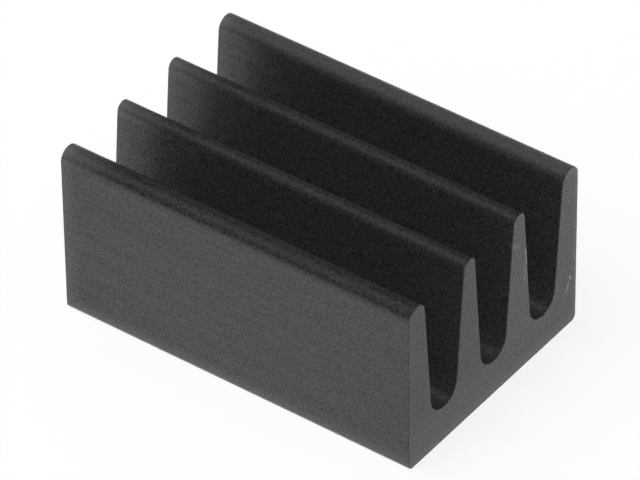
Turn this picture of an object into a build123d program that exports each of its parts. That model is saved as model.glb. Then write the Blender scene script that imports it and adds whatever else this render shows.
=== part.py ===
from build123d import *
import os
from math import cos, radians, sin, tan

# Extruded heat sink for a small circuit package: one aluminium profile, cut to length.
# X runs along the extrusion, Y across the fins and Z up. The origin is the centre of the underside.

# Driving dimensions, in millimetres and degrees
LENGTH = 9.5  # cut length, end to end
WIDTH = 6.4  # over the two outer fins
HEIGHT = 4.52  # from the underside to the crown of every fin
BASE_THICKNESS = 0.97  # from the underside to the lowest point of a channel
FIN_COUNT = 4
OUTER_TIP_RADIUS = 0.3  # full round on each outer fin, whose outside face is upright
INNER_TIP_RADIUS = 0.21  # full round on each fin between two channels
CHANNEL_DRAFT = 4.8  # lean of a channel's walls, which open upwards
CORNER_RADIUS = 0.15  # long lower edges of the profile
EDGE_BREAK = 0.02  # deburred edges of the two cut ends

# Sizes that follow from them
draft = radians(CHANNEL_DRAFT)
channel_count = FIN_COUNT - 1


def tip_to_foot(tip_radius):
    """Distance across, from a tip's centre line to where its drafted wall would meet the underside."""
    return tip_radius / cos(draft) + (HEIGHT - tip_radius) * tan(draft)


outer_foot = OUTER_TIP_RADIUS + tip_to_foot(OUTER_TIP_RADIUS)
inner_foot = 2 * tip_to_foot(INNER_TIP_RADIUS)
inner_fin_count = FIN_COUNT - 2
channel_foot = (WIDTH - 2 * outer_foot - inner_fin_count * inner_foot) / channel_count
pitch = channel_foot + inner_foot

# The root round touches both walls of its channel and has its lowest point on top of the base.
root_radius = (channel_foot / 2 * cos(draft) + BASE_THICKNESS * sin(draft)) / (1 - sin(draft))


def round_through(centre, radius, *angles):
    """Arc about a centre through the points at three angles, counted in degrees from the +Y direction."""
    return ThreePointArc(*(Vector(*centre) + Vector(radius, 0).rotate(Axis.Z, angle) for angle in angles))


def fin_tip(index):
    """Full round of one fin, which meets a drafted wall on each channel side and an upright face outside."""
    is_first = index == 0
    is_last = index == FIN_COUNT - 1
    radius = OUTER_TIP_RADIUS if is_first or is_last else INNER_TIP_RADIUS
    across = (index - (FIN_COUNT - 1) / 2) * pitch
    if is_first:
        across = radius - WIDTH / 2
    if is_last:
        across = WIDTH / 2 - radius
    left = 180 if is_first else 180 - CHANNEL_DRAFT
    right = 0 if is_last else CHANNEL_DRAFT
    return round_through((across, HEIGHT - radius), radius, left, 90, right)


def channel_root(index):
    """Full round at the bottom of one channel, between its two drafted walls."""
    across = (index - (channel_count - 1) / 2) * pitch
    centre = (across, BASE_THICKNESS + root_radius)
    return round_through(centre, root_radius, 180 + CHANNEL_DRAFT, 270, 360 - CHANNEL_DRAFT)


def profile():
    """Section of the extrusion in the YZ plane: tips and roots in turn, joined by straight walls."""
    rounds = [fin_tip(0)]
    for index in range(channel_count):
        rounds += [channel_root(index), fin_tip(index + 1)]
    walls = [Line(before @ 1, after @ 0) for before, after in zip(rounds, rounds[1:])]
    outside = Polyline(rounds[0] @ 0, (-WIDTH / 2, 0), (WIDTH / 2, 0), rounds[-1] @ 1)
    section = make_face(rounds + walls + outside.edges())
    lower_corners = section.vertices().group_by(Axis.Y)[0]
    return Plane.YZ * fillet(lower_corners, CORNER_RADIUS)


def heat_sink():
    """Profile drawn out to the cut length, with the edges of both cut ends taken off."""
    body = extrude(profile(), LENGTH / 2, both=True)
    edges_along = body.edges().group_by(Axis.X)
    return fillet(edges_along[0] + edges_along[-1], EDGE_BREAK)


os.makedirs("parts", exist_ok=True)
export_step(heat_sink(), "parts/heat_sink.step")
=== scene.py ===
from math import pi, radians

import bpy
from mathutils import Matrix, Vector


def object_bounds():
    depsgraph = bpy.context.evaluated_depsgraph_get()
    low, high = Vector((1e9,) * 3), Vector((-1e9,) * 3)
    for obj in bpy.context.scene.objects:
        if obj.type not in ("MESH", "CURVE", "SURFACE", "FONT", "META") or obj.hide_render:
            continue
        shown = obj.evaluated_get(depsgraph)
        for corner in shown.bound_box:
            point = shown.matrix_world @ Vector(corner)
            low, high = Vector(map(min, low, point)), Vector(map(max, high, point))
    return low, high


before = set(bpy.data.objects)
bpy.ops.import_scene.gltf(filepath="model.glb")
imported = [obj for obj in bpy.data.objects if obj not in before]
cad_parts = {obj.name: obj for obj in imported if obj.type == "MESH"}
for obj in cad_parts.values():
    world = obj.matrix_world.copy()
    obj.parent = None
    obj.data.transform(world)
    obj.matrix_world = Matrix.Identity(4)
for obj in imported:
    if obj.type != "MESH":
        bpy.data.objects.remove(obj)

cad_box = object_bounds()
part_size = cad_box[1] - cad_box[0]
part_centre = (cad_box[0] + cad_box[1]) / 2
heat_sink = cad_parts["heat_sink"]

# Camera: a long lens that looks down on the +X end and the -Y side; lengths are in metres
CAMERA_AZIMUTH = radians(36.79)
CAMERA_ELEVATION = radians(39.72)
CAMERA_ROLL = radians(-0.70)
CAMERA_DISTANCE = 0.150
CAMERA_AIM_OFFSET = Vector((0.0000505, -0.0000632, -0.0000625))
CAMERA_LENS_MM = 378.6
CAMERA_NEAR_LIMIT = 0.015

# Studio, in metres: white floor, dim room, a softbox to the left and two lamps that throw no shadow
FLOOR_SIDE = 2.0
FLOOR_TONE = 0.9
FLOOR_GLOW = 0.1
FLOOR_REACH_UNDER_PART = 0.0002
ROOM_LEVEL = 0.13
SOFTBOX_AZIMUTH = radians(-45)
SOFTBOX_ELEVATION = radians(60)
SOFTBOX_DISTANCE = 0.3
SOFTBOX_SIDE = 0.3
SOFTBOX_RADIANCE = 0.47
FRONT_LAMP_STRENGTH = 2.6
BACK_LAMP_STRENGTH = 1.3
LAMP_ELEVATION = radians(40)

# Black anodised finish: tones are linear reflectances, lengths are in millimetres
MM_PER_METRE = 1000
LENGTH, WIDTH, HEIGHT = part_size * MM_PER_METRE
DYED_TONE = 0.02
DYED_ROUGHNESS = 0.33
DYED_IOR = 1.4
OXIDE_ON_DRAWN_FACES = 0.25
OXIDE_ON_CUT_ENDS = 0.12
OXIDE_ROUGHNESS = 0.33

# Etched grain all over, and lines that the die left along the drawn faces, as noise of a single scale
NOISE_DETAIL = 0
NOISE_MIDDLE = 0.5
GRAIN_PER_MM = 18.5
GRAIN_TONE = 1.6
GRAIN_OXIDE_ON_DRAWN_FACES = 0.7
GRAIN_OXIDE_ON_CUT_ENDS = 0.8
GRAIN_ROUGHNESS = 0.12
GRAIN_DEPTH = 0.006
DIE_LINES_PER_MM = 22
DIE_LINE_LENGTH = 3.0
DIE_LINE_OXIDE = 0.32
DIE_LINE_DEPTH = 0.0025

# How squarely a surface has to face one way before it counts as facing that way, at first and in full
FACING_FROM = 0.7
FACING_FULL = 0.95

# The cut ends are dyed deeper over the fins of the -Y half than over the base and the +Y half
DEEP_DYE_TONE = 0.004
DEEP_DYE_EDGE = 1.2
DEEP_DYE_FOOT = 0.6
DEEP_DYE_FULL = 1.6

# Painted light, paler along the lower edges and the -X edges, a painted highlight along the +Y edges of
# the cut ends, and painted light on the crowns
PAINTED_LIGHT_WIDTH = 0.62
PAINTED_LIGHT_TONE = 0.03
PAINTED_LOWER_LIGHT_TONE = 0.055
PAINTED_SIDE_HIGHLIGHT_WIDTH = 0.25
PAINTED_SIDE_HIGHLIGHT_TONE = 0.05
PAINTED_LIGHT_FALL_OFF = 2
CROWN_DEPTH = 0.4
PAINTED_OUTER_CROWN_HIGHLIGHT = 0.045
OUTER_CROWN_FROM = WIDTH / 2 - 0.7
OUTER_CROWN_FULL = WIDTH / 2 - 0.2
CROWN_END_LENGTH = 1.8
PAINTED_CROWN_END_LIGHT = 0.045

# Worn marks on the +X end: from and to (across, up), width and added tone
WORN_MARKS = (
    ((2.94, 1.40), (2.96, 1.32), 0.038, 0.32),  # nick low on the fourth fin
    ((2.90, 1.25), (2.80, 1.00), 0.060, 0.095),  # scratch below the nick
    ((1.195, 3.39), (1.205, 3.28), 0.030, 0.20),  # burr on the edge of the third fin
    ((1.21, 3.26), (1.24, 2.93), 0.035, 0.18),  # worn edge below the burr
    ((1.17, 2.92), (1.20, 2.45), 0.110, 0.045),  # rub beside that edge
    ((0.70, 3.80), (0.96, 3.58), 0.120, 0.035),  # slanting rub across the third fin
    ((-0.99, 4.27), (-0.98, 4.20), 0.030, 0.06),  # speck near the tip of the second fin
    ((-0.86, 4.03), (-0.86, 3.96), 0.030, 0.08),  # speck beside it
)


def looking_from(azimuth, elevation):
    """Turn of a camera or lamp that stands on this side of the part and looks at it."""
    return Matrix.Rotation(azimuth, 4, "Z") @ Matrix.Rotation(pi / 2 - elevation, 4, "X")


def add_camera():
    """Camera at the photograph's angle, at its distance from a point near the middle of the part."""
    data = bpy.data.cameras.new("camera")
    data.lens = CAMERA_LENS_MM
    data.clip_start = CAMERA_NEAR_LIMIT
    camera = bpy.data.objects.new("camera", data)
    roll = Matrix.Rotation(CAMERA_ROLL, 4, "Z")
    away = Matrix.Translation((0, 0, CAMERA_DISTANCE))
    aim = Matrix.Translation(part_centre + CAMERA_AIM_OFFSET)
    camera.matrix_world = aim @ looking_from(CAMERA_AZIMUTH, CAMERA_ELEVATION) @ roll @ away
    bpy.context.collection.objects.link(camera)
    bpy.context.scene.camera = camera


def add_lamp(name, azimuth, strength):
    """Even light from one side that fills the channels down to their roots."""
    data = bpy.data.lights.new(name, "SUN")
    data.energy = strength
    data.use_shadow = False
    lamp = bpy.data.objects.new(name, data)
    lamp.matrix_world = looking_from(azimuth, LAMP_ELEVATION)
    lamp.visible_glossy = False
    bpy.context.collection.objects.link(lamp)


def add_softbox():
    """Wide soft lamp whose reflection runs along the crowns of the fins."""
    data = bpy.data.lights.new("softbox", "AREA")
    data.size = SOFTBOX_SIDE
    data.energy = SOFTBOX_RADIANCE * pi * SOFTBOX_SIDE ** 2
    softbox = bpy.data.objects.new("softbox", data)
    away = Matrix.Translation((0, 0, SOFTBOX_DISTANCE))
    softbox.matrix_world = looking_from(SOFTBOX_AZIMUTH, SOFTBOX_ELEVATION) @ away
    bpy.context.collection.objects.link(softbox)


def node(tree, kind, **settings):
    """Adds a node and sets its properties."""
    made = tree.nodes.new(kind)
    for name, value in settings.items():
        setattr(made, name, value)
    return made


def feed(tree, socket, source):
    """Links an output to a socket, or sets the socket to a plain value."""
    if isinstance(source, bpy.types.NodeSocket):
        tree.links.new(source, socket)
    else:
        socket.default_value = source


def value_math(tree, operation, *sources):
    """Result of one operation on plain values or outputs."""
    made = node(tree, "ShaderNodeMath", operation=operation)
    for socket, source in zip(made.inputs, sources):
        feed(tree, socket, source)
    return made.outputs["Value"]


def vector_math(tree, operation, *sources):
    """Result of one operation on vectors: a vector, or a value for a product or a distance."""
    made = node(tree, "ShaderNodeVectorMath", operation=operation)
    for socket, source in zip(made.inputs, sources):
        feed(tree, socket, source)
    return made.outputs["Value" if operation in ("DOT_PRODUCT", "DISTANCE") else "Vector"]


def split(tree, vector):
    """X, Y and Z of a vector."""
    made = node(tree, "ShaderNodeSeparateXYZ")
    tree.links.new(vector, made.inputs["Vector"])
    return made.outputs


def between(tree, share, low, high):
    """The low value where the share is 0, the high one where it is 1."""
    made = node(tree, "ShaderNodeMix")
    for name, source in (("Factor", share), ("A", low), ("B", high)):
        feed(tree, made.inputs[name], source)
    return made.outputs["Result"]


def ramp(tree, source, start, end):
    """Goes smoothly from 0 where the source is at the start to 1 where it is at the end."""
    made = node(tree, "ShaderNodeMapRange", interpolation_type="SMOOTHSTEP")
    for name, value in (("Value", source), ("From Min", start), ("From Max", end)):
        feed(tree, made.inputs[name], value)
    return made.outputs["Result"]


def speckle(tree, place, per_mm, length=None):
    """Fine noise about zero, drawn out along X where a length is given."""
    along = 1 / (per_mm * length) if length else 1
    noise = node(tree, "ShaderNodeTexNoise")
    noise.inputs["Scale"].default_value = per_mm
    noise.inputs["Detail"].default_value = NOISE_DETAIL
    tree.links.new(vector_math(tree, "MULTIPLY", place, (along, 1, 1)), noise.inputs["Vector"])
    return value_math(tree, "SUBTRACT", noise.outputs["Fac"], NOISE_MIDDLE)


def background_rays(tree):
    """One for rays that show the background: seen by the camera, in a gloss or through glass."""
    rays = node(tree, "ShaderNodeLightPath").outputs
    shown = value_math(tree, "MAXIMUM", rays["Is Camera Ray"], rays["Is Glossy Ray"])
    return value_math(tree, "MAXIMUM", shown, rays["Is Transmission Ray"])


def white_floor_material():
    """Pale matte floor that takes the part's shadow, glows up to white and is clear from below."""
    material = bpy.data.materials.new("white_floor")
    material.use_nodes = True
    tree = material.node_tree
    tree.nodes.clear()
    lit = node(tree, "ShaderNodeBsdfDiffuse")
    lit.inputs["Color"].default_value = (FLOOR_TONE, FLOOR_TONE, FLOOR_TONE, 1)
    glow = node(tree, "ShaderNodeEmission")
    glow_strength = value_math(tree, "MULTIPLY", background_rays(tree), FLOOR_GLOW)
    tree.links.new(glow_strength, glow.inputs["Strength"])
    from_above = node(tree, "ShaderNodeAddShader")
    tree.links.new(lit.outputs["BSDF"], from_above.inputs[0])
    tree.links.new(glow.outputs["Emission"], from_above.inputs[1])
    from_below = node(tree, "ShaderNodeBsdfTransparent")
    both = node(tree, "ShaderNodeMixShader")
    tree.links.new(node(tree, "ShaderNodeNewGeometry").outputs["Backfacing"], both.inputs["Fac"])
    tree.links.new(from_above.outputs["Shader"], both.inputs[1])
    tree.links.new(from_below.outputs["BSDF"], both.inputs[2])
    output = node(tree, "ShaderNodeOutputMaterial")
    tree.links.new(both.outputs["Shader"], output.inputs["Surface"])
    return material


def floor_rectangle(length, width):
    """Corners of a rectangle about the origin, in turn."""
    x, y = length / 2, width / 2
    return [(-x, -y, 0), (x, -y, 0), (x, y, 0), (-x, y, 0)]


def add_floor():
    """Wide square that stops just under the part's lower edges and leaves its underside open to view."""
    outside = floor_rectangle(FLOOR_SIDE, FLOOR_SIDE)
    opening = floor_rectangle(*(side - 2 * FLOOR_REACH_UNDER_PART for side in part_size.xy))
    count = len(outside)
    edges = [(index, (index + 1) % count) for index in range(count)]
    faces = [(start, end, end + count, start + count) for start, end in edges]
    mesh = bpy.data.meshes.new("floor")
    mesh.from_pydata(outside + opening, [], faces)
    mesh.materials.append(white_floor_material())
    floor = bpy.data.objects.new("floor", mesh)
    bpy.context.collection.objects.link(floor)


def add_world():
    """Dim, even light from all round."""
    world = bpy.data.worlds.new("studio")
    bpy.context.scene.world = world
    world.use_nodes = True
    tree = world.node_tree
    tree.nodes.clear()
    background = node(tree, "ShaderNodeBackground")
    background.inputs["Strength"].default_value = ROOM_LEVEL
    output = node(tree, "ShaderNodeOutputWorld")
    tree.links.new(background.outputs["Background"], output.inputs["Surface"])


def worn_mark_group():
    """Mask of one worn mark: 1 along the line from its start to its end, fading to 0 at its width."""
    group = bpy.data.node_groups.new("worn_mark", "ShaderNodeTree")
    for name in ("Place", "Start", "End"):
        group.interface.new_socket(name, in_out="INPUT", socket_type="NodeSocketVector")
    group.interface.new_socket("Width", in_out="INPUT", socket_type="NodeSocketFloat")
    group.interface.new_socket("Mask", in_out="OUTPUT", socket_type="NodeSocketFloat")
    given = node(group, "NodeGroupInput").outputs
    line = vector_math(group, "SUBTRACT", given["End"], given["Start"])
    offset = vector_math(group, "SUBTRACT", given["Place"], given["Start"])
    reach = vector_math(group, "DOT_PRODUCT", offset, line)
    share = value_math(group, "DIVIDE", reach, vector_math(group, "DOT_PRODUCT", line, line))
    share = value_math(group, "MINIMUM", value_math(group, "MAXIMUM", share, 0), 1)
    nearest = node(group, "ShaderNodeVectorMath", operation="SCALE")
    group.links.new(line, nearest.inputs[0])
    group.links.new(share, nearest.inputs["Scale"])
    away = vector_math(group, "DISTANCE", offset, nearest.outputs["Vector"])
    mask = node(group, "NodeGroupOutput").inputs["Mask"]
    group.links.new(ramp(group, away, given["Width"], 0), mask)
    return group


def worn_tone(tree, place):
    """Tone that the worn marks add to the dye."""
    group = worn_mark_group()
    total = 0
    for start, end, width, tone in WORN_MARKS:
        mark = node(tree, "ShaderNodeGroup", node_tree=group)
        tree.links.new(place, mark.inputs["Place"])
        mark.inputs["Start"].default_value = (LENGTH / 2, *start)
        mark.inputs["End"].default_value = (LENGTH / 2, *end)
        mark.inputs["Width"].default_value = width
        total = value_math(tree, "MULTIPLY_ADD", mark.outputs["Mask"], tone, total)
    return total


def painted_edge_light(tree, source, start, edge, tone):
    """Painted light along one edge, which falls off quickly away from the edge."""
    nearness = value_math(tree, "POWER", ramp(tree, source, start, edge), PAINTED_LIGHT_FALL_OFF)
    return value_math(tree, "MULTIPLY", nearness, tone)


def painted_rim_light(tree, x, y, z, cut_end, underside):
    """Painted light along the lower edges and the -X edges, and a painted highlight along the +Y edges
    of the cut ends.
    """
    # Painted light along the lower edges and the -X edges
    lower_tone = between(tree, underside, between(tree, cut_end, PAINTED_LOWER_LIGHT_TONE, PAINTED_LIGHT_TONE), 0)
    lower = painted_edge_light(tree, z, PAINTED_LIGHT_WIDTH, 0, lower_tone)
    back_tone = between(tree, cut_end, PAINTED_LIGHT_TONE, 0)
    back = painted_edge_light(tree, x, PAINTED_LIGHT_WIDTH - LENGTH / 2, -LENGTH / 2, back_tone)
    # Painted highlight along the +Y edges of the cut ends
    side_tone = between(tree, cut_end, 0, PAINTED_SIDE_HIGHLIGHT_TONE)
    side = painted_edge_light(tree, y, WIDTH / 2 - PAINTED_SIDE_HIGHLIGHT_WIDTH, WIDTH / 2, side_tone)
    return value_math(tree, "MAXIMUM", value_math(tree, "MAXIMUM", lower, back), side)


def painted_crown_light(tree, x, y, z):
    """Painted highlight on the crown of the +Y fin and painted light at the -X end of every crown."""
    outer = between(tree, ramp(tree, y, OUTER_CROWN_FROM, OUTER_CROWN_FULL), 0, PAINTED_OUTER_CROWN_HIGHLIGHT)
    end = between(tree, ramp(tree, x, CROWN_END_LENGTH - LENGTH / 2, -LENGTH / 2), 0, PAINTED_CROWN_END_LIGHT)
    crown = ramp(tree, z, HEIGHT - CROWN_DEPTH, HEIGHT)
    return value_math(tree, "MULTIPLY", crown, value_math(tree, "MAXIMUM", outer, end))


def dyed_tone(tree, y, z, cut_end):
    """Tone of the dye: even on the drawn faces, deeper over part of the cut ends."""
    pale_half = ramp(tree, y, -DEEP_DYE_EDGE, DEEP_DYE_EDGE)
    pale_base = ramp(tree, z, DEEP_DYE_FULL, DEEP_DYE_FOOT)
    pale = value_math(tree, "MAXIMUM", pale_half, pale_base)
    return between(tree, cut_end, DYED_TONE, between(tree, pale, DEEP_DYE_TONE, DYED_TONE))


def black_anodised_material():
    """Etched and dyed aluminium under a clear oxide skin, nicked where it was handled, with light
    painted along its edges and crowns.
    """
    material = bpy.data.materials.new("black_anodised_finish")
    material.use_nodes = True
    tree = material.node_tree
    shader = tree.nodes["Principled BSDF"]
    surface = node(tree, "ShaderNodeTexCoord").outputs
    place = vector_math(tree, "MULTIPLY", surface["Object"], (MM_PER_METRE, MM_PER_METRE, MM_PER_METRE))
    x, y, z = split(tree, place)
    facing = split(tree, surface["Normal"])
    cut_end = ramp(tree, value_math(tree, "ABSOLUTE", facing["X"]), FACING_FROM, FACING_FULL)
    underside = ramp(tree, facing["Z"], -FACING_FROM, -FACING_FULL)
    grain = speckle(tree, place, GRAIN_PER_MM)
    die_lines = between(tree, cut_end, speckle(tree, place, DIE_LINES_PER_MM, DIE_LINE_LENGTH), 0)

    # Colour: the dye with its grain, the painted light along the edges and crowns, and the worn marks
    grain_tone = value_math(tree, "MULTIPLY_ADD", grain, GRAIN_TONE, 1)
    tone = value_math(tree, "MULTIPLY", dyed_tone(tree, y, z, cut_end), grain_tone)
    # Painted light and highlights along the edges and on the crowns
    tone = value_math(tree, "ADD", tone, painted_rim_light(tree, x, y, z, cut_end, underside))
    tone = value_math(tree, "ADD", tone, painted_crown_light(tree, x, y, z))
    tone = value_math(tree, "ADD", tone, worn_tone(tree, place))
    tone = value_math(tree, "MAXIMUM", tone, 0)
    colour = node(tree, "ShaderNodeCombineColor")
    for channel in ("Red", "Green", "Blue"):
        tree.links.new(tone, colour.inputs[channel])
    tree.links.new(colour.outputs["Color"], shader.inputs["Base Color"])

    # Gloss: grain and die lines vary the oxide skin that carries the sheen
    roughness = value_math(tree, "MULTIPLY_ADD", grain, GRAIN_ROUGHNESS, DYED_ROUGHNESS)
    tree.links.new(roughness, shader.inputs["Roughness"])
    shader.inputs["IOR"].default_value = DYED_IOR
    oxide = between(tree, cut_end, OXIDE_ON_DRAWN_FACES, OXIDE_ON_CUT_ENDS)
    grain_oxide = between(tree, cut_end, GRAIN_OXIDE_ON_DRAWN_FACES, GRAIN_OXIDE_ON_CUT_ENDS)
    oxide = value_math(tree, "MULTIPLY_ADD", grain, grain_oxide, oxide)
    oxide = value_math(tree, "MULTIPLY_ADD", die_lines, DIE_LINE_OXIDE, oxide)
    tree.links.new(value_math(tree, "MAXIMUM", oxide, 0), shader.inputs["Coat Weight"])
    shader.inputs["Coat Roughness"].default_value = OXIDE_ROUGHNESS

    # Relief of the grain and the die lines, whose heights are lengths already
    relief = value_math(tree, "MULTIPLY", grain, GRAIN_DEPTH / MM_PER_METRE)
    relief = value_math(tree, "MULTIPLY_ADD", die_lines, DIE_LINE_DEPTH / MM_PER_METRE, relief)
    bump = node(tree, "ShaderNodeBump")
    bump.inputs["Distance"].default_value = 1
    tree.links.new(relief, bump.inputs["Height"])
    tree.links.new(bump.outputs["Normal"], shader.inputs["Normal"])
    return material


heat_sink.material_slots[0].material = black_anodised_material()
add_camera()
add_floor()
add_world()
add_softbox()
add_lamp("front_lamp", CAMERA_AZIMUTH, FRONT_LAMP_STRENGTH)
add_lamp("back_lamp", CAMERA_AZIMUTH + pi, BACK_LAMP_STRENGTH)
bpy.context.scene.view_settings.view_transform = "Standard"
